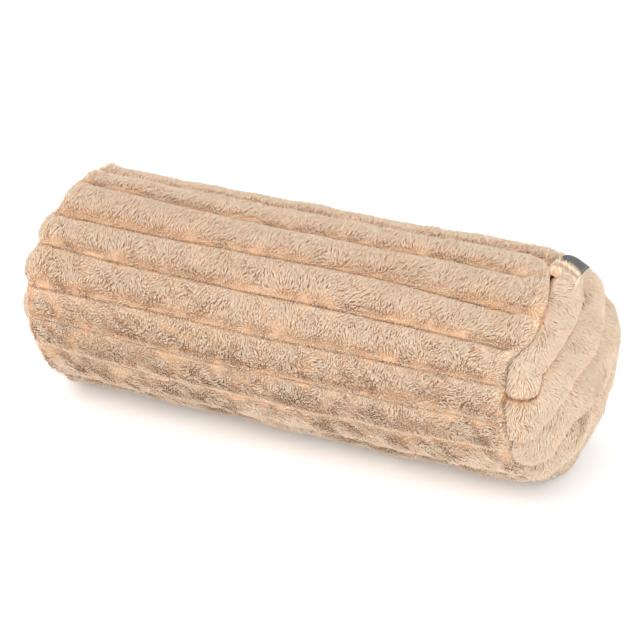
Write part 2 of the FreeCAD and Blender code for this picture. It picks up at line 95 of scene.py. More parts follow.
# How far the slumped filling pushes the ends out, by height
LEFT_SLUMP = ((0, -0.004), (0.028, -0.005), (0.042, -0.002), (0.07, 0.004), (0.095, 0.006),
              (0.14, 0.006), (0.16, 0.001), (0.195, -0.006))
RIGHT_SLUMP = ((0, 0.002), (0.015, 0.003), (0.039, 0.008), (0.066, 0.009), (0.113, 0.011),
               (0.151, 0.001), (0.172, -0.005), (0.195, -0.004))
FLOOR_SOFTNESS = 0.0022
FLOOR_GAP = 0.0002

# The pile. A tuft's line is worked out at these shares of its length, from root to tip.
PILE = 0.0042
TUFT_SPACING = 0.00115
TUFT_WIDTH = 0.00105
TUFT_STEPS = (0.0, 0.45, 1.0)


def waves(seed, points, wavelength, count=14):
    """Smooth noise of about one wavelength, with mean 0 and spread 1, at (n, d) points."""
    rng = np.random.default_rng(seed)
    ways = rng.normal(size=(count, points.shape[1]))
    length = np.linalg.norm(ways, axis=1)
    ways *= (2 * np.pi / wavelength * rng.uniform(0.7, 1.4, count) / length)[:, None]
    total = np.zeros(len(points))
    for way, phase in zip(ways, rng.uniform(0, 2 * np.pi, count)):
        total += np.sin(points @ way + phase)
    return total * math.sqrt(2 / count)


def along_line(seed, places, wavelength, count=8):
    """The same noise along a line."""
    return waves(seed, np.stack([places, np.zeros_like(places)], 1), wavelength, count)


def smooth(low, high, value):
    """0 below low and 1 above high, with a smooth step between."""
    t = np.clip((value - low) / (high - low), 0, 1)
    return t * t * (3 - 2 * t)


def rounding(t):
    """Drop of a quarter-round edge, from 0 at t = 0 to 1 at t = 1."""
    t = np.clip(t, 0, 1)
    return 1 - np.sqrt(1 - t**2)


def unit(vectors):
    return vectors / np.maximum(np.linalg.norm(vectors, axis=1, keepdims=True), 1e-12)


def table_at(table, value):
    """Value read off a table of (place, value) pairs."""
    table = np.array(table)
    return np.interp(value, table[:, 0], table[:, 1])


def value_for(table, edge):
    """The entry for a groove or crease, or None."""
    return next((v for k, v in table.items() if abs(k - edge) < 0.1), None)


def around(x, radius, angle):
    """Points at x along the axis, and at a radius and an angle in radians round it."""
    return np.stack([x, -radius * np.cos(angle), AXIS_Z + radius * np.sin(angle)], 1)


def steps_along(path):
    """Length from the start of a path to each of its points."""
    return np.concatenate([[0], np.cumsum(np.linalg.norm(np.diff(path, axis=0), axis=1))])


def rest(points):
    """Slumps the ends, and presses the underside flat where it rests on the floor."""
    share = smooth(SEAM_X - 0.010, SEAM_X + 0.035, np.abs(points[:, 0]))
    left, right = table_at(LEFT_SLUMP, points[:, 2]), table_at(RIGHT_SLUMP, points[:, 2])
    points[:, 0] += share * np.where(points[:, 0] < 0, -left, right)
    z = points[:, 2] / FLOOR_SOFTNESS
    points[:, 2] = FLOOR_SOFTNESS * (np.maximum(z, 0) + np.log1p(np.exp(-np.abs(z))))
    return points


def end_reach(degrees, side):
    """How far past the seam plane the ribs reach at this angle round the axis."""
    return table_at(LEFT_ENDS if side < 0 else RIGHT_ENDS, (degrees + 180) % 360 - 180)


# ---------------------------------------------------------------- ribs of the tube


def groove_angle(edge, x):
    """Angle of a sewn groove at x. The grooves wander a little, and part at the zip."""
    if abs(abs(edge) - 180) < 1:
        opening = math.degrees(CHANNEL_HALF_WIDTH / (RADIUS - LIP))
        shut = smooth(CHANNEL_HALF_LENGTH - 0.002, CHANNEL_HALF_LENGTH + 0.004, np.abs(x))
        return edge - math.copysign(1, edge) * opening * (1 - shut)
    left, right = value_for(GROOVE_BENDS, edge) or (0.0, 0.0)
    share = x / SEAM_X
    bend = np.where(share < 0, left, right) * share**2
    bend += (value_for(GROOVE_HOOKS, edge) or 0.0) * np.clip((x - 0.186) / 0.036, 0, 1) ** 2
    return edge + bend + 0.40 * along_line(int(round(edge * 10)) + 5000, x, 0.14, 6)


def groove_left(edge, x, end):
    """Share of a groove's depth that is left at x, because some grooves fade near the right end."""
    length = value_for(GROOVE_FADES, edge)
    return 1 - smooth(-length, -length * 0.45, x - end) if length else np.ones_like(x)


def outline(x):
    """Radius of the envelope at x, which falls over the rounded shoulders."""
    past = np.clip(np.abs(x) - SEAM_X - LIP, 0, SHOULDER_RADIUS * 0.99)
    return RADIUS - SHOULDER_RADIUS + np.sqrt(SHOULDER_RADIUS**2 - past**2)


def rib_surface(low_edge, high_edge, seed):
    """Points of one rib for (across, along, height), where across and along run from -1 to 1."""
    beside_zip = max(abs(low_edge), abs(high_edge)) > 179
    inside = RADIUS - (ZIP_WALL if beside_zip else WALL)

    def surface(a, b, height):
        middle = (low_edge + high_edge) / 2 + a * (high_edge - low_edge) / 2
        end = SEAM_X + np.where(b < 0, end_reach(middle, -1), end_reach(middle, 1))
        x = end * b
        low, high = groove_angle(low_edge, x), groove_angle(high_edge, x)
        angle = np.radians((low + high) / 2 + (high - low) / 2 * a)
        crown = np.clip(1 - np.abs(a) ** 2.5, 0, 1) ** 0.62
        kept = np.where(a < 0, groove_left(low_edge, x, end), groove_left(high_edge, x, end))
        crown = 1 - (1 - crown) * kept
        swell = (0.0014 + 0.0022 * smooth(0.0, 0.2, x)) * np.clip(np.sin(angle), 0, 1)
        lump = 0.0007 * along_line(seed, x, 0.07) * crown
        overlap = 0.0022 * smooth(0.0, 0.006, np.abs(x) - SEAM_X - LIP)
        drop = rounding(1 - (end - np.abs(x)) / 0.010) * 0.0085
        radius = outline(x) - LIP * (1 - crown) + swell + lump + overlap - drop + height
        radius = np.maximum(radius, inside)
        return rest(around(x, radius, angle))

    return surface


# ---------------------------------------------------------------- domed ends


def dome_tables():
    """Radius, place along the axis and length from the middle, along the profile of a domed end."""
    start = math.asin((SHOULDER_START - (RADIUS - SHOULDER_RADIUS)) / SHOULDER_RADIUS)
    crown_r = np.linspace(0, SHOULDER_START, 300)
    turn = np.linspace(start, math.pi / 2, 300)[1:]
    r = np.concatenate([crown_r, RADIUS + SHOULDER_RADIUS * (np.sin(turn) - 1), [RADIUS]])
    x = np.concatenate([CROWN_CENTRE_X + np.sqrt(CROWN_RADIUS**2 - crown_r**2),
                        SEAM_X + LIP + SHOULDER_RADIUS * np.cos(turn), [SEAM_X - 0.030]])
    return r, x, np.concatenate([[0], np.cumsum(np.hypot(np.diff(r), np.diff(x)))])


DOME_R, DOME_X, DOME_S = dome_tables()
SHOULDER_S = DOME_S[-2]


def length_at(radius):
    """Length along the dome from its middle out to a radius."""
    return np.interp(radius, DOME_R[:-1], DOME_S[:-1])


def radius_at(s):
    return np.interp(s, DOME_S, DOME_R)


def dome_profile(s, height):
    """Radius and place along the axis at length s, height above the envelope."""
    step = 1e-4
    r, x = radius_at(s), np.interp(s, DOME_S, DOME_X)
    slope_r = radius_at(s + step) - radius_at(s - step)
    slope_x = np.interp(s + step, DOME_S, DOME_X) - np.interp(s - step, DOME_S, DOME_X)
    length = np.hypot(slope_r, slope_x)
    return r - slope_x / length * height, x + slope_r / length * height


def dome_point(side, s, degrees, height):
    """Points of an end panel at length s from its middle and an angle round the axis."""
    r, x = dome_profile(s, height)
    return rest(around(side * x, r, np.radians(degrees)))


def boundary_length(side, degrees):
    """Length along the dome from its middle to where the ribs end, at an angle round the axis."""
    past = end_reach(degrees, side) - LIP
    over = SHOULDER_RADIUS * np.arcsin(np.clip(past / SHOULDER_RADIUS, 0, 1))
    return SHOULDER_S - np.where(past > 0, over, past)


def band_place(side, low, high, a, b):
    """Length from the middle and angle round the axis at (across, along) of a slanted band."""
    v = low + (high - low) * (a + 1) / 2
    start = length_at(np.abs(v))
    tilt = side * BAND_TILT
    rim_angle = np.arctan2(v, np.sign(b) * np.sqrt(np.maximum(RADIUS**2 - v**2, 0))) + tilt
    rim_degrees = np.degrees(np.arctan2(np.sin(rim_angle), -np.cos(rim_angle)))
    rim = SHOULDER_S + LIP - np.minimum(end_reach(rim_degrees, side), 0.002)
    sigma = b * np.sqrt(np.maximum(rim**2 - start**2, 0))
    s = np.hypot(start, sigma)
    q = np.sign(sigma) * np.sqrt(np.maximum(radius_at(s) ** 2 - v**2, 0))
    bow = 0.0014 * along_line(60 + side, q, 0.07, 6) * np.clip(1 - np.abs(v) / 0.09, 0, 1)
    if side > 0:
        below, above = value_for(BAND_BOWS, low * 1000), value_for(BAND_BOWS, high * 1000)
        bow += (table_at(below, q) * (1 - a) / 2 if below else 0.0)
        bow += (table_at(above, q) * (1 + a) / 2 if above else 0.0)
    steady = smooth(SHOULDER_S - 0.020, SHOULDER_S - 0.002, s)
    near, far = radius_at(s), np.minimum(np.hypot(v + bow, q), RADIUS)
    s = s + (length_at(far) - length_at(near)) * (1 - steady)
    angle = np.arctan2(v + bow, q) + tilt
    return s, np.degrees(np.arctan2(np.sin(angle), -np.cos(angle))), q


def band_surface(side, low, high, seed):
    """Points of one slanted band of an end panel for (across, along, height)."""

    def surface(a, b, height):
        s, degrees, q = band_place(side, low, high, a, b)
        fullness, falloff = np.where(a < 0, 2.8, 1.9), np.where(a < 0, 0.45, 0.85)
        crown = np.clip(1 - np.abs(a) ** fullness, 0, 1) ** falloff
        lump = (0.0010 * along_line(seed, q, 0.05) - 0.0012 * a) * crown
        drop = rounding(1 - (boundary_length(side, degrees) - s) / 0.012) * 0.0075
        if side > 0:  # the label's seam lifts the fur in front of it
            around_it, along_it = (degrees - 84) / 10, (s - SHOULDER_S + 0.022) / 0.014
            lump += 0.0075 * np.exp(-around_it ** 2 - along_it ** 2)
        lift = np.maximum(lump - BAND_CREASE * (1 - crown) - drop + height, -WALL)
        return dome_point(side, s, degrees, lift)

    return surface


# ---------------------------------------------------------------- meshes


def build_mesh(name, vertices, triangles, material, node, tone=None):
    """A smooth mesh that stands for a CAD node on the pillow, with a tone for each vertex."""
    mesh = bpy.data.meshes.new(name)
    mesh.vertices.add(len(vertices))
    mesh.vertices.foreach_set("co", np.asarray(vertices, np.float32).ravel())
    mesh.loops.add(len(triangles) * 3)
    mesh.loops.foreach_set("vertex_index", np.asarray(triangles, np.int32).ravel())
    mesh.polygons.add(len(triangles))
    starts = np.arange(0, len(triangles) * 3, 3, dtype=np.int32)
    mesh.polygons.foreach_set("loop_start", starts)
    mesh.update(calc_edges=True)
    mesh.polygons.foreach_set("use_smooth", np.full(len(triangles), True))
    if tone is not None:
        layer = mesh.attributes.new("tone", "FLOAT", "POINT")
        layer.data.foreach_set("value", np.asarray(tone, np.float32))
    mesh.materials.append(material)
    item = bpy.data.objects.new(name, mesh)
    bpy.context.scene.collection.objects.link(item)
    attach(item, "pillow")
    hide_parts(node)
    return item


def outward_faces(points, faces):
    """The same triangles of a closed shape, wound so that they face outwards."""
    p, q, r = points[faces[:, 0]], points[faces[:, 1]], points[faces[:, 2]]
    volume = np.einsum("ij,ij->", p, np.cross(q, r))
    return faces if volume > 0 else faces[:, ::-1]


def lofted(points, count, rows):
    """A closed shape of rows rings of count points, whose ends are closed by fans."""
    start = np.arange(rows - 1)[:, None] * count
    here, after = np.arange(count)[None, :], (np.arange(count)[None, :] + 1) % count
    p, q = (start + here).ravel(), (start + after).ravel()
    sides = [np.stack([p, q, q + count], 1), np.stack([p, q + count, p + count], 1)]
    first, last = np.arange(count), (rows - 1) * count + np.arange(count)
    centres = np.stack([points[first].mean(0), points[last].mean(0)])
    n = len(points)
    caps = [np.stack([np.roll(first, -1), first, np.full(count, n)], 1),
            np.stack([last, np.roll(last, -1), np.full(count, n + 1)], 1)]
    points = np.concatenate([points, centres])
    return points, outward_faces(points, np.concatenate(sides + caps))


def pile_depth(a):
    """Depth of the skin under the tips of the pile, which is shorter beside the grooves."""
    return PILE * (1 - 0.5 * smooth(0.6, 1.0, np.abs(a)))


def bar(surface, across, along, lumps):
    """Closed stuffed bar under one strip of plush: its outer skin, its sides and its backing."""
    a_out = np.linspace(-1, 1, across)
    a_in = np.linspace(1, -1, 7)[1:-1]
    a_ring = np.clip(np.concatenate([a_out, [1, 1], a_in, [-1, -1]]), -0.999, 0.999)
    depth = np.concatenate([pile_depth(a_out), [0.6 * WALL], np.full(7, WALL), [0.6 * WALL]])
    bend = math.pi / 2 * 0.93
    b_rows = np.sin(np.linspace(-1, 1, along) * bend) / math.sin(bend)
    a, b = [g.ravel() for g in np.meshgrid(a_ring, b_rows)]
    skin = np.tile(np.arange(len(a_ring)) < across, along)
    spot = surface(a, b, np.zeros(len(a)))
    bump = waves(lumps, spot, 0.022) * 0.0005 + waves(lumps + 1, spot, 0.008) * 0.0003
    points = surface(a, b, -np.tile(depth, along) + np.where(skin, bump, 0))
    points, faces = lofted(points, len(a_ring), along)
    # Painted shade at the roots: the skin under the pile is dark, falling to tone 0 at the grooves;
    # sides and backing are tone 0.
    tone = np.where(skin, 0.12 * (1 - smooth(0.85, 0.98, np.abs(a))), 0)
    return points, faces, np.concatenate([tone, [0, 0]])


def fan_tufts(line, above, width, shade):
    """Closed three-sided tufts about lines of three points, from a root to a fine tip."""
    outward = unit(above - line[0])
    growth = unit(line[2] - line[0])
    side = unit(np.cross(growth, outward))
    face = unit(np.cross(side, growth))
    n = len(growth)
    vertices = np.zeros((n, 7, 3))
    for ring, share in ((0, 1.0), (1, 0.85)):
        for corner in range(3):
            turn = math.pi / 2 + corner * 2 * math.pi / 3
            spoke = side * math.cos(turn) + face * math.sin(turn) * 0.6
            reach = np.broadcast_to(width * share / 2, (n,))[:, None]
            vertices[:, ring * 3 + corner] = line[ring] + spoke * reach
    vertices[:, 6] = line[2]
    vertices[:, :, 2] = np.maximum(vertices[:, :, 2], FLOOR_GAP)
    pattern = [(0, 1, 2)]
    for corner in range(3):
        nxt = (corner + 1) % 3
        pattern += [(nxt, corner, nxt + 3), (corner, corner + 3, nxt + 3), (nxt + 3, corner + 3, 6)]
    triangles = (np.arange(n)[:, None, None] * 7 + np.array(pattern)[None]).reshape(-1, 3)
    # Painted shade at the roots: tone rises from dark at the root ring to full at the tip.
    tone = np.stack([shade * 0.18] * 3 + [shade * 0.80] * 3 + [shade], 1).ravel()
    return vertices.reshape(-1, 3), triangles, tone


def tufts(surface, a, b, move_a, move_b, rise, sink, width, shade):
    """Tufts of a strip, which bend over from a root in the skin."""
    line = []
    for t in TUFT_STEPS:
        reach, up = t**1.35, 1 - (1 - t) ** 1.5
        line.append(surface(np.clip(a + move_a * reach, -0.992, 0.992),
                            np.clip(b + move_b * reach, -1, 1), -sink + rise * up))
    return fan_tufts(line, surface(a, b, -sink + 0.002), width, shade)


def clump_pull(p, q, seed, cell=0.0034):
    """From each point to the nearest of some unevenly scattered clump centres."""
    best = np.full(len(p), 1e9)
    pull_p, pull_q = np.zeros(len(p)), np.zeros(len(p))
    row, column = np.round(p / cell), np.round(q / cell)
    for dr in (-1, 0, 1):
        for dc in (-1, 0, 1):
            r, c = row + dr, column + dc
            first = np.sin(r * 12.9898 + c * 78.233 + seed) * 43758.5453
            second = np.sin(r * 39.346 + c * 11.135 + seed) * 24634.6345
            to_p = (r + (first - np.floor(first)) - 0.5) * cell - p
            to_q = (c + (second - np.floor(second)) - 0.5) * cell - q
            away = to_p**2 + to_q**2
            nearer = away < best
            best = np.where(nearer, away, best)
            pull_p, pull_q = np.where(nearer, to_p, pull_p), np.where(nearer, to_q, pull_q)
    return pull_p, pull_q


def pile(surface, width, length, seed, comb, covered=None):
    """All the tufts of one strip, which has a width, and a length at each place across it.

    comb says how the tufts lie, and covered which of them are under the label and left out.
    """
    rng = np.random.default_rng(seed)
    profile_a = np.linspace(-0.985, 0.985, 400)
    profile = surface(profile_a, np.full(400, 0.1), -pile_depth(profile_a))
    steps = steps_along(profile)
    rows = max(6, int(steps[-1] / TUFT_SPACING))
    a_all, b_all = [], []
    for row in range(rows):
        a_row = np.interp((row + 0.5) / rows * steps[-1], steps, profile_a)
        columns = int(length(a_row) / TUFT_SPACING)
        if columns < 3:
            continue
        slip = (rng.random(columns) - 0.5) * 1.3 / rows * steps[-1]
        a_all.append(np.interp(np.interp(a_row, profile_a, steps) + slip, steps, profile_a))
        b_all.append(-1 + 2 * (np.arange(columns) + rng.random(columns)) / columns)
    a = np.clip(np.concatenate(a_all), -0.97, 0.97)
    b = np.clip(np.concatenate(b_all), -0.992, 0.992)
    if covered is not None:
        seen = ~covered(a, b)
        a, b = a[seen], b[seen]
    grid = np.linspace(-1, 1, 41)
    run = np.interp(a, grid, [length(v) for v in grid])
    spot = surface(a, b, np.zeros(len(a)))
    lean_a, lean_b, rise, ruffle = comb(a, b, spot)
    reach = np.hypot(lean_a, lean_b) + 1e-6
    way_a, way_b = lean_a / reach, lean_b / reach
    pull_a, pull_b = clump_pull(a * width / 2, b * run / 2, seed)
    ahead = pull_a * way_a + pull_b * way_b
    gather = 0.75 * ruffle
    n = len(a)
    wild = rng.normal(size=(n, 2)) * 0.0008
    move_a = lean_a + (pull_a - ahead * way_a * 0.85) * gather + wild[:, 0]
    move_b = lean_b + (pull_b - ahead * way_b * 0.85) * gather + wild[:, 1]
    depth = pile_depth(a)
    rise = rise * depth / PILE * rng.uniform(0.82, 1.18, n)
    rise = rise * np.where(rng.random(n) < 0.06, 1.3, 1.0)
    # Tone varies at random. Ruffled tufts are darker: painted shade on each rib's lower flank.
    shade = 0.92 + rng.normal(size=n) * 0.07 + 0.04 * waves(seed + 9, spot, 0.012) - 0.12 * ruffle
    # Painted shade: tufts near a groove are darker.
    shade -= 0.50 * smooth(0.88, 0.985, np.abs(a))  # darker down in the grooves
    thick = TUFT_WIDTH * rng.uniform(0.75, 1.3, n)
    return tufts(surface, a, b, move_a / (width / 2), move_b / (run / 2), rise, depth + 0.0005,
                 thick, np.clip(shade, 0, 1))


def joined(*parts):
    """Several (vertices, triangles, tone) as one."""
    vertices, triangles, tone, count = [], [], [], 0
    for v, f, t in parts:
        vertices.append(v)
        triangles.append(f + count)
        tone.append(t)
        count += len(v)
    return np.concatenate(vertices), np.concatenate(triangles), np.concatenate(tone)


def strip(name, surface, width, length, seed, comb, node, covered=None, extra=()):
    """One rib or band of plush: a stuffed bar covered with tufts."""
    core = bar(surface, 21, max(24, int(length(0.0) / 0.004)), seed)
    fur = pile(surface, width, length, seed, comb, covered)
    vertices, triangles, tone = joined(core, fur, *extra)
    build_mesh(name, vertices, triangles, PLUSH, node, tone)


def rib_comb(a, b, spot):
    """How the pile of a rib lies: smooth on its upper flank and ruffled from the middle down."""
    low = 1 - smooth(0.02, 0.10, spot[:, 2])
    turn = np.radians(38 + 10 * low + 14 * waves(7, spot, 0.085) + 15 * waves(11, spot, 0.030))
    ruffle = smooth(-0.9, 1.0, -a * 1.7 + 0.9 * waves(23, spot, 0.034) + 0.1)
    lean = (0.0046 + 0.0008 * waves(29, spot, 0.014)) * (1 + 0.2 * low)
    up = lean * np.cos(turn) * (1 - 1.3 * smooth(0.25, 1.0, -a))
    along = lean * np.sin(turn) * (1 - 0.5 * smooth(0.4, 1.0, np.abs(a)))
    at_end = smooth(0.95, 0.99, np.abs(b))
    along = along * (1 - at_end) + 0.004 * at_end * np.sign(b)
    rise = PILE * (1.10 + 0.14 * waves(31, spot, 0.009) * ruffle - 0.12 * smooth(0.0, 0.8, a))
    rise = rise * (1 - 0.15 * low)
    return up, along, rise, ruffle * (1 - smooth(0.78, 1.0, np.abs(a))) * (1 - 0.75 * low)


def band_comb(a, b, spot):
    """How the pile of an end band lies: longer, and combed along the band and over its edges."""
    turn = np.radians(205 + 24 * waves(41, spot, 0.060) + 14 * waves(42, spot, 0.025))
    ruffle = smooth(0.2, 1.6, waves(43, spot, 0.030) + 0.2)
    rise = PILE * (1.10 + 0.10 * waves(47, spot, 0.010) * ruffle)
    return 0.0044 * np.cos(turn), 0.0056 * np.sin(turn), rise, ruffle * 0.8


def sheet_mesh(middle, columns, rows, thickness):
    """Closed thin sheet about a surface given for u and v from 0 to 1, with its points' u and v."""
    u, v = np.meshgrid(np.linspace(0, 1, columns), np.linspace(0, 1, rows))
    u, v = u.ravel(), v.ravel()
    points = middle(u, v)
    step = 1e-3
    across = middle(np.minimum(u + step, 1), v) - middle(np.maximum(u - step, 0), v)
    along = middle(u, np.minimum(v + step, 1)) - middle(u, np.maximum(v - step, 0))
    half = unit(np.cross(across, along)) * (thickness(u, v) / 2)[:, None]
    n = columns * rows
    grid = np.arange(n).reshape(rows, columns)
    p, q = grid[:-1, :-1].ravel(), grid[:-1, 1:].ravel()
    r, s = grid[1:, 1:].ravel(), grid[1:, :-1].ravel()
    top = np.concatenate([np.stack([p, q, r], 1), np.stack([p, r, s], 1)])
    border = np.concatenate([grid[0, :-1], grid[:-1, -1], grid[-1, :0:-1], grid[:0:-1, 0]])
    after = np.roll(border, -1)
    edge = np.concatenate([np.stack([border, border + n, after + n], 1),
                           np.stack([border, after + n, after], 1)])
    points = np.concatenate([points + half, points - half])
    faces = np.concatenate([top, top[:, ::-1] + n, edge])
    return points, outward_faces(points, faces), np.tile(u, 2), np.tile(v, 2)


def stitches(name, path, pitch, radius, node, material):
    """A row of short stitches along a path of points, each a plump little length of thread."""
    steps = steps_along(path)
    count = max(2, int(steps[-1] / pitch))
    middle = (np.arange(count) + 0.5) * steps[-1] / count
    at = [np.stack([np.interp(middle + d, steps, path[:, k]) for k in range(3)], 1)
          for d in (-pitch * 0.1, 0, pitch * 0.1)]
    direction = unit(at[2] - at[0])
    side = unit(np.cross(direction, np.array([[0.31, 0.17, 0.93]])))
    other = np.cross(direction, side)
    rings = []
    for place, size in ((-0.44, 0.45), (-0.34, 0.9), (0.0, 1.0), (0.34, 0.9), (0.44, 0.45)):
        for k in range(6):
            spoke = side * math.cos(k * math.pi / 3) + other * math.sin(k * math.pi / 3)
            rings.append(at[1] + direction * place * pitch + spoke * radius * size)
    points = np.stack(rings, 1)
    pattern = []
    for ring in range(4):
        for k in range(6):
            p, q = ring * 6 + k, ring * 6 + (k + 1) % 6
            pattern += [(p, q, q + 6), (p, q + 6, p + 6)]
    for k in range(1, 5):
        pattern += [(0, k + 1, k), (24, 24 + k, 25 + k)]
    faces = (np.arange(count)[:, None, None] * 30 + np.array(pattern)[None]).reshape(-1, 3)
    points = points.reshape(-1, 3)
    return build_mesh(name, points, outward_faces(points, faces), material, node)


def revolved(name, chain, material, node, solid=False):
    """A wrinkled padded shape, turned round the axis from a chain of (x, radius).

    The chain of a solid runs from one end to the other, and that of a shell returns to its start.
    """
    segments, depth, seed = 240, 0.0011, 900
    x, r = np.repeat(chain[:, 0], segments), np.repeat(chain[:, 1], segments)
    turn = np.tile(np.arange(segments) * 2 * math.pi / segments, len(chain))
    spot = np.stack([x, r * np.cos(turn), r * np.sin(turn)], 1)
    folds = 1 - np.abs(waves(seed, spot, 0.05)) + 0.4 * waves(seed + 1, spot, 0.018)
    r = r - depth * 0.5 * (1 - np.clip(folds, -1, 1)) * smooth(0.0, 0.02, r)
    points = rest(around(x, r, turn))
    if solid:
        points, faces = lofted(points, segments, len(chain))
    else:
        ring = np.arange(segments)
        start = np.arange(len(chain))[:, None] * segments
        below = (np.arange(len(chain))[:, None] + 1) % len(chain) * segments
        p, q = (start + ring).ravel(), (start + (ring + 1) % segments).ravel()
        s, t = (below + ring).ravel(), (below + (ring + 1) % segments).ravel()
        faces = np.concatenate([np.stack([p, q, t], 1), np.stack([p, t, s], 1)])
        faces = outward_faces(points, faces)
    build_mesh(name, points, faces, material, node)


# ---------------------------------------------------------------- materials


def new_material(name):
    """A material with a Principled shader, a helper that adds its nodes, and its links."""
    material = bpy.data.materials.new(name)
    material.use_nodes = True
    nodes, links = material.node_tree.nodes, material.node_tree.links
    shader = next(n for n in nodes if n.type == "BSDF_PRINCIPLED")

    def add(kind, **values):
        made = nodes.new(kind)
        for key, value in values.items():
            if hasattr(made, key):
                setattr(made, key, value)
            else:
                made.inputs[key].default_value = value
        return made

    return material, shader, add, links


def ramp(add, stops):
    """A colour ramp through (position, (r, g, b)) stops, in linear light."""
    made = add("ShaderNodeValToRGB")
    elements = made.color_ramp.elements
    while len(elements) < len(stops):
        elements.new(0.5)
    for element, (position, colour) in zip(elements, stops):
        element.position = position
        element.color = (*colour, 1)
    return made


def span(add, links, source, low, high):
    """A value between low and high, driven by a noise or wave from 0 to 1."""
    made = add("ShaderNodeMapRange")
    made.inputs["To Min"].default_value = low
    made.inputs["To Max"].default_value = high
    links.new(source, made.inputs["Value"])
    return made.outputs["Result"]


def relief(add, links, shader, source, strength, distance):
    """Bump on the shader from a height between 0 and 1."""
    made = add("ShaderNodeBump", Strength=strength, Distance=distance)
    links.new(source, made.inputs["Height"])
    links.new(made.outputs["Normal"], shader.inputs["Normal"])


def tone_colours(add, links, shader, place, stops, shift, scale):
    """Base colour from each vertex's tone, shifted a little by noise."""
    tone = add("ShaderNodeAttribute", attribute_name="tone")
    noise = add("ShaderNodeTexNoise", Scale=scale, Detail=3.0)
    links.new(place, noise.inputs["Vector"])
    total = add("ShaderNodeMath", operation="ADD", use_clamp=True)
    links.new(tone.outputs["Fac"], total.inputs[0])
    links.new(span(add, links, noise.outputs["Fac"], -shift, shift), total.inputs[1])
    colours = ramp(add, stops)
    links.new(total.outputs[0], colours.inputs["Fac"])
    links.new(colours.outputs["Color"], shader.inputs["Base Color"])


def plush_material():
    """Matt fur in pale apricot, darker and more orange at low tones: painted shade at the roots."""
    material, shader, add, links = new_material("plush")
    place = add("ShaderNodeTexCoord").outputs["Object"]
    # Low tones are painted shade at the roots and grooves, high tones the pale tips.
    stops = ((0.0, (0.60, 0.34, 0.18)), (0.30, (0.81, 0.56, 0.37)), (0.62, (0.88, 0.69, 0.52)),
             (1.0, (0.91, 0.765, 0.61)))
    tone_colours(add, links, shader, place, stops, 0.11, 28.0)
    fibres = add("ShaderNodeTexNoise", Scale=900.0, Detail=2.0)
    links.new(place, fibres.inputs["Vector"])
    links.new(span(add, links, fibres.outputs["Fac"], 0.78, 0.94), shader.inputs["Roughness"])
    relief(add, links, shader, fibres.outputs["Fac"], 0.25, 0.0002)
    shader.inputs["Specular IOR Level"].default_value = 0.05
    return material


def cloth_material(name, colour, thread, rough=(0.75, 0.9), slant=(0, 0, 0), depth=0.0002,
                   specular=0.2):
    """Plain or twill weave of threads of one size, in metres, with its colour set on the shader."""
    material, shader, add, links = new_material(name)
    place = add("ShaderNodeTexCoord").outputs["Object"]
    turned = add("ShaderNodeMapping")
    turned.inputs["Rotation"].default_value = slant
    links.new(place, turned.inputs["Vector"])
    heights = []
    for direction in ("X", "Y", "Z"):
        wave = add("ShaderNodeTexWave", bands_direction=direction, Scale=math.pi / 10 / thread,
                   Distortion=0.6)
        wave.inputs["Detail Scale"].default_value = 40.0
        links.new(turned.outputs["Vector"], wave.inputs["Vector"])
        heights.append(wave.outputs["Fac"])
    for other in heights[1:]:
        joint = add("ShaderNodeMath", operation="MULTIPLY")
        links.new(heights[0], joint.inputs[0])
        links.new(other, joint.inputs[1])
        heights[0] = joint.outputs[0]
    shader.inputs["Base Color"].default_value = (*colour, 1)
    links.new(span(add, links, heights[0], *rough), shader.inputs["Roughness"])
    relief(add, links, shader, heights[0], 0.6, depth)
    shader.inputs["Specular IOR Level"].default_value = specular
    return material


def label_material():
    """Charcoal ribbon with a diagonal weave and paler borders."""
    material, shader, add, links = new_material("label")
    place = add("ShaderNodeTexCoord").outputs["Object"]
    stops = ((0.0, (0.088, 0.086, 0.088)), (0.55, (0.115, 0.112, 0.114)), (1.0, (0.26, 0.25, 0.25)))
    tone_colours(add, links, shader, place, stops, 0.05, 90.0)
    wave = add("ShaderNodeTexWave", wave_type="BANDS", bands_direction="DIAGONAL", Scale=520.0,
               Distortion=0.5)
    links.new(place, wave.inputs["Vector"])
    links.new(span(add, links, wave.outputs["Fac"], 0.62, 0.82), shader.inputs["Roughness"])
    relief(add, links, shader, wave.outputs["Fac"], 0.5, 0.0002)
    shader.inputs["Specular IOR Level"].default_value = 0.25
    return material


def noise_material(name, colour, scale, rough, depth, metallic=0.0, specular=0.3):
    """Plain colour with roughness and fine bump from noise."""
    material, shader, add, links = new_material(name)
    place = add("ShaderNodeTexCoord").outputs["Object"]
    noise = add("ShaderNodeTexNoise", Scale=scale, Detail=4.0)
    links.new(place, noise.inputs["Vector"])
    shader.inputs["Base Color"].default_value = (*colour, 1)
    shader.inputs["Metallic"].default_value = metallic
    shader.inputs["Specular IOR Level"].default_value = specular
    links.new(span(add, links, noise.outputs["Fac"], *rough), shader.inputs["Roughness"])
    relief(add, links, shader, noise.outputs["Fac"], 0.4, depth)
    return material


PLUSH = plush_material()
LABEL = label_material()
THREAD = noise_material("thread", (0.62, 0.34, 0.17), 1500.0, (0.55, 0.80), 0.00015)
PAD_THREAD = noise_material("pad_thread", (0.86, 0.85, 0.82), 1500.0, (0.55, 0.80), 0.00015)
FILLING = noise_material("filling", (0.90, 0.90, 0.89), 700.0, (0.80, 0.95), 0.0008, specular=0.1)
CARE_TAPE = cloth_material("care_tape", (0.88, 0.88, 0.87), 0.0006, (0.40, 0.60), depth=0.0001)
PAD_CASING = cloth_material("pad_casing", (0.83, 0.80, 0.75), 0.0009)
ZIP_TAPE = cloth_material("zip_tape", (0.78, 0.56, 0.40), 0.0008, slant=(math.pi / 4, 0, 0))
ZIP_TEETH = noise_material("zip_teeth", (0.78, 0.55, 0.38), 420.0, (0.32, 0.50), 0.0001)
ZIP_METAL = noise_material("zip_metal", (0.62, 0.61, 0.59), 650.0, (0.22, 0.42), 0.00008, 1.0, 0.5)


# ---------------------------------------------------------------- the side label

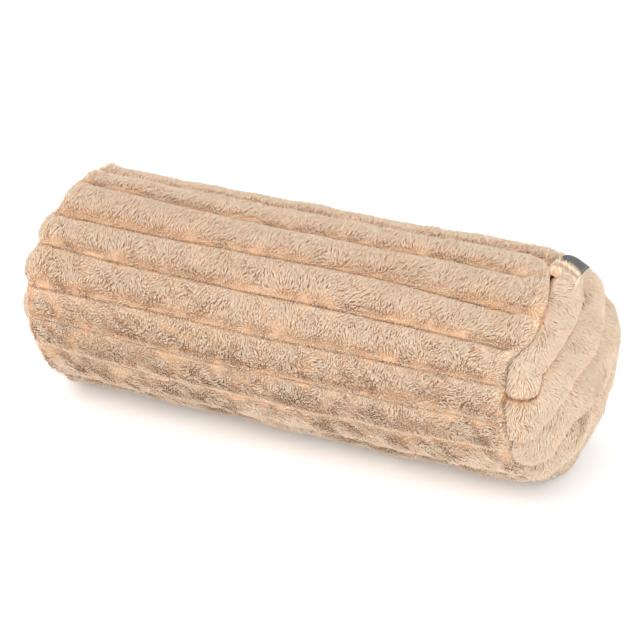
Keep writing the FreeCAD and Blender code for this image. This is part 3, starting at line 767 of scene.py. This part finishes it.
LABEL_ANGLE = 98.5
LABEL_HALF_WIDTH = 0.014
LABEL_LENGTH = 0.034
LABEL_DROOP = 0.35
LABEL_COVER = 0.018
LABEL_PATH = ((0.0, 0.2145, 0.0945), (0.18, 0.2190, 0.0998), (0.32, 0.2235, 0.1022),
              (0.6, 0.2330, 0.1006), (1.0, 0.2465, 0.0936))


def label_path(v):
    """Place along the axis and radius of the label's middle, from the seam to its free end."""
    steps, x, r = np.array(LABEL_PATH).T
    return [sum(np.interp(v + d, steps, c) for d in (-0.06, 0, 0.06)) / 3 for c in (x, r)]


def label_point(x, r, across):
    """Points beside the label's middle line."""
    return rest(around(x, r, math.radians(LABEL_ANGLE) + across / r))


def label_sides(u, v):
    """Distances from the nearer long side of the label, and from its free end."""
    return np.minimum(u, 1 - u) * 2 * LABEL_HALF_WIDTH, (1 - v) * LABEL_LENGTH


def label_middle(u, v):
    """Middle surface of the label: u goes across it and v from the seam to its free end."""
    across = (u - 0.5) * 2 * LABEL_HALF_WIDTH
    x, r = label_path(v)
    ripple = 0.0008 * np.sin(5 * u + 3 * v) * v
    return label_point(x, r + ripple - LABEL_DROOP * across**2 / r, across)


def label_thickness(u, v):
    """The label is thicker along its woven borders."""
    border, hem = label_sides(u, v)
    raised = smooth(0.0028, 0.0020, border) + smooth(0.0028, 0.0020, hem)
    return 0.0007 + 0.0005 * np.clip(raised, 0, 1)


def label_tone(u, v):
    """Two paler lines run along each side of the label, and one along its free end."""
    line = 0
    for strength, place, width in ((1.0, 0.0022, 0.0006), (0.6, 0.0002, 0.0004)):
        for distance in label_sides(u, v):
            line += strength * np.exp(-((distance - place) / width) ** 2)
    return 0.3 + 0.7 * np.clip(line, 0, 1)


def under_label(surface):
    """Which places of a surface lie under the label."""

    def covered(a, b):
        spot = surface(a, b, np.zeros(len(a)))
        angle = np.arctan2(spot[:, 2] - AXIS_Z, -spot[:, 1])
        r = np.hypot(spot[:, 1], spot[:, 2] - AXIS_Z)
        across = (angle - math.radians(LABEL_ANGLE)) * r
        inside = (np.abs(across) < LABEL_HALF_WIDTH + 0.0006) & (spot[:, 0] > SEAM_X + 0.001)
        return inside & (spot[:, 0] < SEAM_X + LABEL_COVER)

    return covered


def label_fringe(locks, seed):
    """Locks of pile about the label.

    Most stand against its front side and fall over it, and the rest fall over its root.
    """
    rng = np.random.default_rng(seed)
    each = 34
    beside_it = int(locks * 0.7)
    over_root = locks - beside_it
    edge = -LABEL_HALF_WIDTH
    lock_v = np.concatenate([np.linspace(0.12, 0.98, beside_it), np.full(over_root, 0.14)])
    lock_across = np.concatenate([np.full(beside_it, edge),
                                  np.linspace(edge - 0.006, 0.008, over_root)])
    tip_v = lock_v - 0.03 + rng.normal(size=locks) * 0.05
    tip_across = lock_across + rng.uniform(0.003, 0.0095, locks)
    tip_v[beside_it:] = lock_v[beside_it:] + rng.uniform(0.14, 0.30, over_root)
    tip_across[beside_it:] = lock_across[beside_it:] + rng.normal(size=over_root) * 0.0015

    lock = np.repeat(np.arange(locks), each)
    n = len(lock)
    standing = lock < beside_it
    spread = rng.normal(size=(n, 2))
    root_v = lock_v[lock] + spread[:, 1] * 0.035
    root_across = lock_across[lock] - np.where(standing, rng.uniform(0.0, 0.011, n), 0.0)
    share = rng.uniform(0.25, 1.0, n) ** 0.6
    end_across = root_across + (tip_across[lock] + spread[:, 0] * 0.0004 - root_across) * share
    end_v = root_v + (tip_v[lock] + spread[:, 1] * 0.008 - root_v) * share
    x, path_r = label_path(np.clip(root_v, 0, 1))
    ground = np.maximum(np.interp(-x, -DOME_X, DOME_R) - 0.003, path_r - 0.0085)
    line = []
    for t in TUFT_STEPS:
        across = root_across + (end_across - root_across) * t
        x, r = label_path(np.clip(root_v + (end_v - root_v) * t, 0, 1))
        above = r - LABEL_DROOP * across**2 / r + 0.0020 + 0.0003 * spread[:, 0]
        beside = ground + (above - ground) * (1 - (1 - t) ** 2)
        over = smooth(edge - 0.003, edge + 0.001, across)
        falling = beside + (above - beside) * over * (t > 0)
        r = np.where(standing, falling, above - 0.004 * (1 - t) ** 2)
        line.append(label_point(x, r, across))
    outer = line[0] + (line[0] - (0, 0, AXIS_Z)) * (0, 0.1, 0.1)
    shade = rng.uniform(0.8, 1.0, n)
    vertices, triangles, tone = fan_tufts(line, outer, TUFT_WIDTH * 1.1, shade)
    # Tones squeezed to 0.22-0.77, tips darker than the pile's: painted shade on the packed fringe.
    return vertices, triangles, 0.22 + 0.55 * tone


# ---------------------------------------------------------------- the cover

rib_edges = [RIB_SPANS[0][0]]
for first, last, count in RIB_SPANS:
    rib_edges += [first + (last - first) * (i + 1) / count for i in range(count)]
for number, (low, high) in enumerate(zip(rib_edges, rib_edges[1:]), start=1):
    strip(f"cover_rib_{number:02d}", rib_surface(low, high, 100 + number),
          math.radians(high - low) * RADIUS, lambda a: 2 * SEAM_X, 200 + number, rib_comb,
          "cover_body_panel")

for side, word in ((-1, "left"), (1, "right")):
    for number, (high, low) in enumerate(zip(BAND_EDGES, BAND_EDGES[1:]), start=1):

        def chord(a, low=low, high=high):
            """Length of the band at the place a across it."""
            v = low + (high - low) * (a + 1) / 2
            start = length_at(abs(v))
            return 2 * math.sqrt(max((SHOULDER_S + LIP) ** 2 - start**2, 0))

        face = band_surface(side, low, high, 300 + 10 * number + side)
        labelled = side > 0 and number < 3
        strip(f"end_band_{word}_{number}", face, high - low, chord, 400 + 10 * number + side,
              band_comb, f"cover_end_panel_{word}", under_label(face) if labelled else None,
              [label_fringe(44, 77)] if labelled and number == 1 else ())

points, faces, u, v = sheet_mesh(label_middle, 57, 65, label_thickness)
label = build_mesh("side_label_ribbon", points, faces, LABEL, "side_label",
                   label_tone(u, v))

# ---------------------------------------------------------------- seams, zip and pad

turn = np.linspace(-180, 180, 721)
for side, word in ((-1, "left"), (1, "right")):
    place = SEAM_X + end_reach(turn, side)
    ring = rest(around(side * place, outline(place) - END_SEAM_DEPTH, np.radians(turn)))
    stitches(f"end_seam_stitches_{word}", ring, COVER_STITCH, COVER_THREAD,
             f"end_seam_thread_{word}", THREAD)
    ring = rest(around(np.full(len(turn), side * SEAM_X), PAD_SEAM_RADIUS, np.radians(turn)))
    stitches(f"pad_seam_stitches_{word}", ring, PAD_STITCH, PAD_THREAD_RADIUS,
             f"pad_seam_thread_{word}", PAD_THREAD)


def straight(low_x, high_x, y, z):
    """A line along the pillow."""
    x = np.linspace(low_x, high_x, 200)
    return np.stack([x, np.full(200, y), np.full(200, z)], 1)


def through(node):
    """A line along the pillow, through the middle of a CAD node's box."""
    low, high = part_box(node)
    return straight(low.x, high.x, (low.y + high.y) / 2, (low.z + high.z) / 2)


seam_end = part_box("closing_seam_thread")[1].x
for side, word in ((-1, "left"), (1, "right")):
    run = straight(CHANNEL_HALF_LENGTH, seam_end, CLOSING_SEAM_Y, AXIS_Z) * (side, 1, 1)
    stitches(f"closing_stitches_{word}", run, COVER_STITCH, COVER_THREAD, "closing_seam_thread",
             THREAD)
for word in ("upper", "lower"):
    node = f"zip_stitching_{word}"
    stitches(f"zip_tape_stitches_{word}", through(node), TAPE_STITCH, PAD_THREAD_RADIUS, node,
             THREAD)
stitches("pad_closing_stitches", through("pad_closing_thread"), PAD_STITCH, PAD_THREAD_RADIUS,
         "pad_closing_thread", PAD_THREAD)

for word in ("upper", "lower"):
    low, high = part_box(f"zip_tape_{word}")

    def tape(u, v, low=low, high=high):
        """Middle surface of a zip tape, which ripples a little between its edges."""
        x, z = low.x + (high.x - low.x) * v, low.z + (high.z - low.z) * u
        y = (low.y + high.y) / 2 + 0.00006 * np.sin(x * 500) * np.sin(u * math.pi)
        return np.stack([x, y, z], 1)

    def tape_thickness(u, v):
        """The tape is thicker at its two woven edges."""
        return 0.00034 + 0.00006 * smooth(0.10, 0.04, np.minimum(u, 1 - u))

    points, faces, u, v = sheet_mesh(tape, 9, 373, tape_thickness)
    item = build_mesh(f"zip_tape_woven_{word}", points, faces, ZIP_TAPE, f"zip_tape_{word}")

low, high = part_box("care_label")
start_turn = math.atan2(low.z - AXIS_Z, -high.y)
end_turn = math.atan2(high.z - AXIS_Z, -low.y)


def care_middle(u, v):
    """The care label lies on the pad's casing, with faint ripples."""
    angle = start_turn + (end_turn - start_turn) * v
    r = CARE_LABEL_RADIUS + 0.00008 * np.sin(9 * u + 5 * v)
    return around(low.x + (high.x - low.x) * u, r, angle)


points, faces, u, v = sheet_mesh(care_middle, 31, 41, lambda u, v: np.full_like(u, 0.0003))
item = build_mesh("care_label_tape", points, faces, CARE_TAPE, "care_label")


def end_chain(inset, points_wanted):
    """(x, radius) along a dome inset from the envelope, from its middle to just past the seam."""
    s = np.linspace(0.0005, SHOULDER_S, points_wanted)
    r, x = dome_profile(s, -inset)
    return np.stack([np.append(x, SEAM_X + 0.0003), np.append(r, RADIUS - inset)], 1)


tube_half = SEAM_X - 0.0003
tube_x = np.linspace(-tube_half, tube_half, 150)
outer_r, inner_r = RADIUS - CASING_INSET, RADIUS - FILLING_INSET + 0.0002
shell = np.concatenate([np.stack([tube_x, np.full(150, outer_r)], 1),
                        np.stack([tube_x[::-1], np.full(150, inner_r)], 1)])
revolved("pad_casing_shell", shell, PAD_CASING, "pad_casing_tube")
outside, inside = end_chain(CASING_INSET, 60), end_chain(FILLING_INSET - 0.0002, 60)
for side, word in ((-1, "left"), (1, "right")):
    shell = np.concatenate([outside, inside[::-1]]) * (side, 1)
    revolved(f"pad_casing_cap_{word}", shell, PAD_CASING, f"pad_casing_end_{word}")
cap = end_chain(FILLING_INSET, 60)
middle = np.stack([np.linspace(SEAM_X, -SEAM_X, 150), np.full(150, RADIUS - FILLING_INSET)], 1)
lump_chain = np.concatenate([cap[:-1], middle, (cap[:-1] * (-1, 1))[::-1]])
revolved("fibre_fill", lump_chain, FILLING, "fibre_filling", solid=True)

for name, material in (("zip_teeth_upper", ZIP_TEETH), ("zip_teeth_lower", ZIP_TEETH),
                       ("zip_slider", ZIP_METAL), ("zip_pull", ZIP_METAL),
                       ("zip_bottom_stop", ZIP_METAL), ("zip_top_stops", ZIP_METAL)):
    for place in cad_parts[name].material_slots:
        place.material = material


# ---------------------------------------------------------------- studio


def soft_light(name, place, size, power):
    """A square lamp that faces the pillow."""
    lamp = bpy.data.lights.new(name, "AREA")
    lamp.size = size
    lamp.energy = power
    item = bpy.data.objects.new(name, lamp)
    bpy.context.scene.collection.objects.link(item)
    item.location = place
    item.rotation_mode = "QUATERNION"
    item.rotation_quaternion = (Vector((0, 0, AXIS_Z)) - Vector(place)).to_track_quat("-Z", "Y")


def studio():
    """White surroundings, a pale floor, soft lamps, and a camera where the photo's was."""
    scene = bpy.context.scene
    scene.view_settings.view_transform = "Standard"
    world = bpy.data.worlds.new("studio")
    scene.world = world
    world.use_nodes = True
    nodes, links = world.node_tree.nodes, world.node_tree.links
    nodes.clear()
    ambient = nodes.new("ShaderNodeBackground")
    ambient.inputs["Strength"].default_value = 1.13
    backdrop = nodes.new("ShaderNodeBackground")
    backdrop.inputs["Strength"].default_value = 1.0
    for light in (ambient, backdrop):
        light.inputs["Color"].default_value = (1, 1, 1, 1)
    path = nodes.new("ShaderNodeLightPath")
    mixer = nodes.new("ShaderNodeMixShader")
    out = nodes.new("ShaderNodeOutputWorld")
    links.new(path.outputs["Is Camera Ray"], mixer.inputs["Fac"])
    links.new(ambient.outputs[0], mixer.inputs[1])
    links.new(backdrop.outputs[0], mixer.inputs[2])
    links.new(mixer.outputs[0], out.inputs["Surface"])

    bpy.ops.mesh.primitive_plane_add(size=30)
    floor = bpy.context.object
    floor.name = "studio_floor"
    material, shader, add, links = new_material("studio_floor")
    shader.inputs["Base Color"].default_value = (0.97, 0.97, 0.97, 1)
    shader.inputs["Roughness"].default_value = 0.9
    shader.inputs["Emission Color"].default_value = (0.96, 0.98, 1.0, 1)
    shader.inputs["Emission Strength"].default_value = 0.14
    floor.data.materials.append(material)

    soft_light("key", (-0.9, -1.1, 2.2), 1.4, 15.0)
    soft_light("fill", (1.8, -1.4, 0.7), 1.6, 14.0)
    soft_light("low_front", (0.4, -2.0, 0.25), 1.6, 7.0)

    azimuth, elevation, distance = math.radians(24.6), math.radians(27.7), 2.179
    back = Vector((math.sin(azimuth) * math.cos(elevation),
                   -math.cos(azimuth) * math.cos(elevation), math.sin(elevation)))
    lens = bpy.data.cameras.new("camera")
    lens.lens = 138.7
    lens.sensor_width = 36
    lens.shift_x, lens.shift_y = 0.0084, 0.0009
    lens.clip_start, lens.clip_end = 0.05, 60
    camera = bpy.data.objects.new("camera", lens)
    scene.collection.objects.link(camera)
    camera.location = Vector((0, 0, AXIS_Z)) + back * distance
    camera.rotation_mode = "QUATERNION"
    camera.rotation_quaternion = (-back).to_track_quat("-Z", "Y")
    scene.camera = camera


studio()
